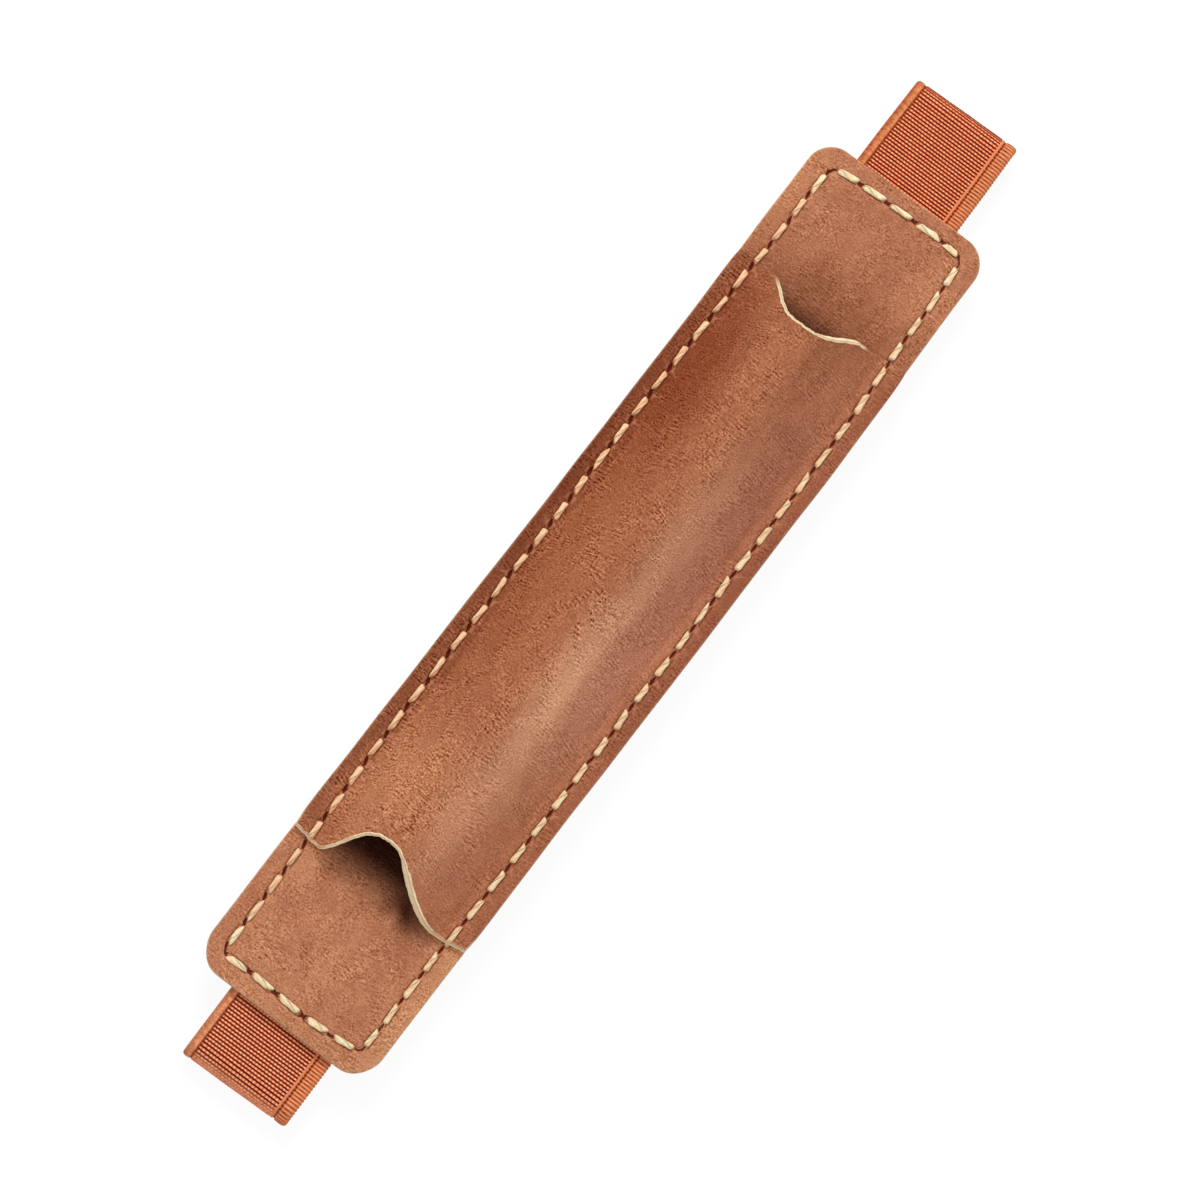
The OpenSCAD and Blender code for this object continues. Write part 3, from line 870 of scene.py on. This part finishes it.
class Shape(Nodes):
    """A Geometry Nodes tree with named inputs."""

    def __init__(self, name, inputs):
        super().__init__(bpy.data.node_groups.new(name, "GeometryNodeTree"))
        kinds = {float: "NodeSocketFloat", int: "NodeSocketInt", bpy.types.Material: "NodeSocketMaterial"}
        self.tree.interface.new_socket("Geometry", in_out="INPUT", socket_type="NodeSocketGeometry")
        self.values = {}
        for label, value in inputs.items():
            kind = next(k for t, k in kinds.items() if isinstance(value, t))
            socket = self.tree.interface.new_socket(label, in_out="INPUT", socket_type=kind)
            self.values[socket.identifier] = value
        self.tree.interface.new_socket("Geometry", in_out="OUTPUT", socket_type="NodeSocketGeometry")

    def given(self, label):
        return self.add("NodeGroupInput", None, None, label)

    def geometry(self, kind, geometry, sockets):
        return self.add("GeometryNode" + kind, None, {"Geometry": geometry, **sockets})

    def named(self, name, data_type="FLOAT_VECTOR"):
        settings = {"data_type": data_type}
        return self.add("GeometryNodeInputNamedAttribute", settings, {"Name": name}, "Attribute")

    def store(self, geometry, name, value, domain="POINT", data_type="FLOAT_VECTOR"):
        return self.add("GeometryNodeStoreNamedAttribute", {"data_type": data_type, "domain": domain}, {
            "Geometry": geometry, "Name": name, "Value": value
        })

    def finish(self, geometry):
        """Ends the tree: instances made real, and the material set."""
        real = self.geometry("RealizeInstances", geometry, {})
        dressed = self.geometry("SetMaterial", real, {"Material": self.given("Material")})
        self.add("NodeGroupOutput", None, {"Geometry": dressed})

    def applied_to(self, piece):
        """Runs the tree on a piece and keeps the result as the piece's plain mesh."""
        modifier = piece.modifiers.new("shape", "NODES")
        modifier.node_group = self.tree
        for identifier, value in self.values.items():
            modifier[identifier] = value
        graph = bpy.context.evaluated_depsgraph_get()
        shown = piece.evaluated_get(graph)
        made = bpy.data.meshes.new_from_object(shown, preserve_all_data_layers=True, depsgraph=graph)
        piece.modifiers.remove(modifier)
        piece.data = made
        made.polygons.foreach_set("use_smooth", np.ones(len(made.polygons), bool))
        return piece


def ribs_on(strap, material):
    """Raises the elastic's ribs along its length, between its selvedges."""
    g = Shape("elastic_ribs", {"Rib Pitch": RIB_PITCH, "Rib Height": RIB_H * MM, "Material": material})
    across, along, _ = g.split(g.named("weave"))
    wave = (along / g.given("Rib Pitch") * math.tau).cosine()
    middle = across.hump((-8.4, -8.2), (6.95, 7.15))
    right = across.step(8.0, 8.15) * 0.7
    lift = wave * g.given("Rib Height") * (middle + right)
    normal = g.add("GeometryNodeInputNormal", None, None, "Normal")
    g.finish(g.geometry("SetPosition", g.given("Geometry"), {"Offset": g.scaled(normal, lift)}))
    return g.applied_to(strap)


def stitch_body(g, blunt, slant, bulge):
    """One plied stitch of unit length and width, its ends blunter with a higher power and cut on a slant,
    and its middle bulging to one side."""
    line = g.add("GeometryNodeCurvePrimitiveLine", None, {"Start": (-0.5, 0, 0), "End": (0.5, 0, 0)})
    line = g.add("GeometryNodeResampleCurve", None, {"Curve": line, "Count": 15})
    share = g.add("GeometryNodeSplineParameter", None, None, "Factor")
    line = g.add("GeometryNodeSetCurveTilt", None, {"Curve": line, "Tilt": share * g.given("Twist")})
    from_middle = abs(share * 2.0 - 1.0)
    line = g.geometry("SetPosition", line, {"Offset": g.join(0.0, (1 - from_middle**2.0) * bulge)})
    line = g.store(line, "share", share, data_type="FLOAT")
    ring = g.add("GeometryNodeCurvePrimitiveCircle", None, {"Resolution": 12, "Radius": 0.5})
    at = g.add("GeometryNodeInputPosition")
    px, py, _ = g.split(at)
    turn = py.angle_from(px)
    lobes = g.geometry("SetPosition", ring, {"Offset": g.scaled(at, (turn * 2.0).cosine() * PLY_DEPTH)})
    lobes = g.store(lobes, "around", turn, data_type="FLOAT")
    girth = ((1.0 - from_middle**blunt).at_least(0.0)) ** 0.6 * 0.9 + 0.1
    body = g.add("GeometryNodeCurveToMesh", None, {
        "Curve": line, "Profile Curve": lobes, "Scale": girth, "Fill Caps": True
    })
    _, sideways, _ = g.split(g.add("GeometryNodeInputPosition"))
    body = g.geometry("SetPosition", body, {"Offset": g.join(sideways * slant, 0.0)})
    body = g.store(body, "strand", g.join(g.named("share", "FLOAT"), g.named("around", "FLOAT")))
    return g.geometry("GeometryToInstance", body, {})


def stitches(name, material, seed):
    """A row of stitches on a flat seam: one plied, tapering stitch on each long edge of the ring."""
    points = np.concatenate([RING, np.zeros((len(RING), 1))], 1)
    lengths = np.linalg.norm(np.roll(RING, -1, 0) - RING, axis=1)
    edges = [(i, (i + 1) % len(RING)) for i, length in enumerate(lengths) if length > CORNER_GAP]
    mesh = bpy.data.meshes.new(name)
    mesh.from_pydata((points * MM).tolist(), edges, [])
    row = linked(bpy.data.objects.new(name, mesh))

    g = Shape("stitch_row", {
        "Side Share": SIDE_SHARE, "Top Share": TOP_SHARE, "Bottom Share": BOTTOM_SHARE,
        "Thread Width": THREAD_W * MM, "Twist": THREAD_TWIST * math.tau, "Lean": math.radians(THREAD_LEAN),
        "Seed": seed, "Material": material
    })
    kinds = g.add("GeometryNodeJoinGeometry")
    for shape in SIDE_SHAPES + END_SHAPES:
        g.tree.links.new(stitch_body(g, *shape).output, kinds.output.node.inputs["Geometry"])

    def chance(low, high, offset, data_type="FLOAT"):
        return g.add("FunctionNodeRandomValue", {"data_type": data_type}, {
            "Min": low, "Max": high, "Seed": g.given("Seed") + float(offset)
        })

    start, end = (g.add("GeometryNodeInputMeshEdgeVertices", None, None, f"Position {n}") for n in (1, 2))
    held = g.store(g.given("Geometry"), "run", g.vector("SUBTRACT", end, start), "EDGE")
    spots = g.add("GeometryNodeMeshToPoints", {"mode": "EDGES"}, {"Mesh": held})
    run = g.named("run")
    length = g.vector("LENGTH", run)
    crosswise = abs(g.split(run)[0]) / length
    upper = g.split(g.add("GeometryNodeInputPosition"))[1].step(-MM, MM)
    end_share = g.given("Top Share") * upper + g.given("Bottom Share") * (1 - upper)
    share = g.given("Side Share") * (1 - crosswise) + end_share * crosswise
    heading = g.add("FunctionNodeAlignRotationToVector", {"axis": "X"}, {"Vector": run})
    lean = g.join(chance(-0.3, 0.3, 1), 0.0, g.given("Lean") * chance(-0.6, 1.4, 2))
    heading = g.add("FunctionNodeRotateRotation", {"rotation_space": "LOCAL"}, {
        "Rotation": heading, "Rotate By": g.add("FunctionNodeEulerToRotation", None, {"Euler": lean})
    })
    width = g.given("Thread Width")
    across_w = width * chance(0.86, 1.08, 4) * (1 + crosswise * 0.12)
    at_end = crosswise.step(0.5, 0.6)
    first_end = len(SIDE_SHAPES)
    last_end = first_end + len(END_SHAPES) - 1
    pick = chance(0, first_end - 1, 6, "INT") * (1 - at_end)
    pick = pick + chance(first_end, last_end, 7, "INT") * at_end
    placed = g.add("GeometryNodeInstanceOnPoints", None, {
        "Points": spots, "Instance": kinds, "Pick Instance": True, "Instance Index": pick,
        "Rotation": heading,
        "Scale": g.join(length * share * chance(0.92, 1.08, 3), across_w, width * THREAD_H_SHARE)
    })
    g.finish(g.store(placed, "lot", chance(0.0, 1.0, 5), "INSTANCE", "FLOAT"))
    return g.applied_to(row)


def front_height(x, y):
    """The height of the leather that the front stitches lie on."""
    low = y - rim_y(BOTTOM_RIM, x)
    high = rim_y(TOP_RIM, x) - SLANT * x - y
    return BASE_TOP + POCKET_T * smooth(low, *STEP_IN) * smooth(high, *STEP_IN)


def back_height(x, y):
    """The height of the back that the rear stitches lie on, lower on the sewn ends of the elastic."""
    across = x * math.cos(STRAP_SKEW) + (y + MIDDLE_Y) * math.sin(STRAP_SKEW)
    inside = smooth(STRAP_HALF_W - np.abs(across), *STEP_OUT)
    ends = smooth(y - tail_lo[1] + MIDDLE_Y, *STEP_OUT) + smooth(lower_tail_hi[1] - MIDDLE_Y - y, *STEP_OUT)
    return BASE_BACK - STRAP_T * inside * ends


def vectors_of(data, key):
    values = np.empty(3 * len(data))
    data.foreach_get(key, values)
    return values.reshape(-1, 3)


def draped(row, height, side):
    """Lays a flat row of stitches on the leather's front or back, with each stitch's ends drawn in."""
    points = vectors_of(row.data.vertices, "co") / MM
    end = np.abs(vectors_of(row.data.attributes["strand"].data, "vector")[:, 0] * 2 - 1)
    x, y = points[:, 0], points[:, 1]
    local = points[:, 2] + THREAD_W * THREAD_RISE_SHARE - THREAD_SINK - GROOVE_DEPTH * GROOVE_SHARE
    local = local - END_SINK * end**END_SINK_POWER
    points[:, 2] = height(x, y) + lie(x, y) + side * local
    row.data.vertices.foreach_set("co", (settled(points) * MM).ravel())
    if side < 0:
        row.data.flip_normals()
    row.data.update()
    return row


def flat_size(piece, field):
    """Width and length of a sheet laid flat, from the places on it that its points carry, in metres."""
    places = vectors_of(piece.data.attributes[field].data, "vector")
    return [float(side) * MM for side in np.ptp(places, axis=0)[:2]]


def dressed(piece, material, slot, body=None, nodes=()):
    """Gives a piece its material, hides the frame's parts that it stands in for, and hangs it on its body
    where it has one.
    """
    if not piece.data.materials:
        piece.data.materials.append(material)
    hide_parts(*nodes)
    if body:
        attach(piece, body)
    return piece


def build_sleeve():
    base_skin = leather_finish("base_leather", BASE_LIGHT, BASE_DARK, BASE_TONES_AND_PAINTED_SHADE, covered_and_shaded=True)
    pocket_skin = leather_finish("pocket_leather", POCKET_LIGHT, POCKET_DARK, POCKET_TONES_AND_PAINTED_LIGHT)
    elastic = elastic_finish()
    thread = thread_finish()

    base = dressed(base_leather(), base_skin, "base_leather", "sleeve", ["base_panel"])
    pocket = dressed(pocket_leather(), pocket_skin, "pocket_leather", "sleeve", ["pocket_panel"])
    front = draped(stitches("front_stitches", thread, FRONT_SEED), front_height, 1)
    dressed(front, thread, "thread", "sleeve", ["front_thread"])
    back = draped(stitches("back_stitches", thread, BACK_SEED), back_height, -1)
    dressed(back, thread, "thread", "sleeve", ["back_thread"])
    strap = ribs_on(strap_mesh(), elastic)
    dressed(strap, elastic, "elastic", None, [
        "strap_top_tail", "strap_top_fold", "strap_rear_run", "strap_bottom_fold", "strap_bottom_tail"
    ])
    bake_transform(strap)

    flat_size(strap, "weave")
    flat_size(base, "place")
    flat_size(pocket, "place")


def white_share(nodes):
    """1 for the rays that should meet plain white: from the camera, mirrored or through glass."""
    kinds = ("Camera", "Glossy", "Transmission")
    rays = [nodes.add("ShaderNodeLightPath", None, None, f"Is {kind} Ray") for kind in kinds]
    return (rays[0] + rays[1] + rays[2]).at_most(1.0)


def studio():
    """A white floor that keeps a soft shadow, even light from all round, and one soft lamp."""
    signs = ((-1, -1), (1, -1), (1, 1), (-1, 1))
    corners = [(x * FLOOR_REACH, y * FLOOR_REACH, 0) for x, y in signs]
    mesh = bpy.data.meshes.new("floor")
    mesh.from_pydata(corners, [], [(0, 1, 2, 3)])
    floor = linked(bpy.data.objects.new("floor", mesh))
    f = Finish("white_floor")
    diffuse = f.add("ShaderNodeBsdfDiffuse", None, {"Color": (0.9, 0.9, 0.9, 1)})
    glow = f.add("ShaderNodeEmission", None, {"Strength": FLOOR_GLOW})
    glow_share = white_share(f) * FLOOR_GLOW_SHARE
    surface = f.add("ShaderNodeMixShader", None, {0: glow_share, 1: diffuse, 2: glow})
    f.add("ShaderNodeOutputMaterial", None, {"Surface": surface})
    mesh.materials.append(f.material)

    world = bpy.data.worlds.new("white_room")
    world.use_nodes = True
    bpy.context.scene.world = world
    w = Nodes(world.node_tree)
    strength = white_share(w) * (1.0 - ROOM_LIGHT) + ROOM_LIGHT
    room = w.add("ShaderNodeBackground", None, {"Color": (1, 1, 1, 1), "Strength": strength})
    w.add("ShaderNodeOutputWorld", None, {"Surface": room})

    light = bpy.data.lights.new("soft_lamp", "AREA")
    light.shape = "DISK"
    light.size = LAMP_SIZE
    light.energy = LAMP_POWER
    lamp = linked(bpy.data.objects.new("soft_lamp", light))
    toward = Vector(LAMP_TOWARD).normalized()
    lamp.location = Vector((0, MIDDLE_Y, BASE_TOP)) * MM + toward * LAMP_DISTANCE
    lamp.rotation_euler = toward.to_track_quat("Z", "Y").to_euler()


def photo_camera():
    """The camera of the photograph: almost overhead, with the sleeve turned in the picture."""
    tilt, turn = math.radians(CAMERA_TILT), math.radians(CAMERA_TURN)
    back = Vector((0, -math.sin(tilt), math.cos(tilt)))
    along = Vector((0, math.cos(tilt), math.sin(tilt)))
    across = Vector((1, 0, 0))
    up = along * math.cos(turn) - across * math.sin(turn)
    right = across * math.cos(turn) + along * math.sin(turn)
    data = bpy.data.cameras.new("photo_camera")
    data.sensor_width = SENSOR_W
    data.lens = SENSOR_W * CAMERA_FOCUS / PICTURE_W
    data.clip_start, data.clip_end = 0.01, 20
    camera = linked(bpy.data.objects.new("photo_camera", data))
    target = Vector((CAMERA_SIDE, MIDDLE_Y, CAMERA_TARGET_Z)) * MM
    place = Matrix((right, up, back)).transposed().to_4x4()
    place.translation = target + back * CAMERA_DISTANCE * MM
    camera.matrix_world = place
    bpy.context.scene.camera = camera


build_sleeve()
studio()
photo_camera()
bpy.context.scene.view_settings.view_transform = "Standard"
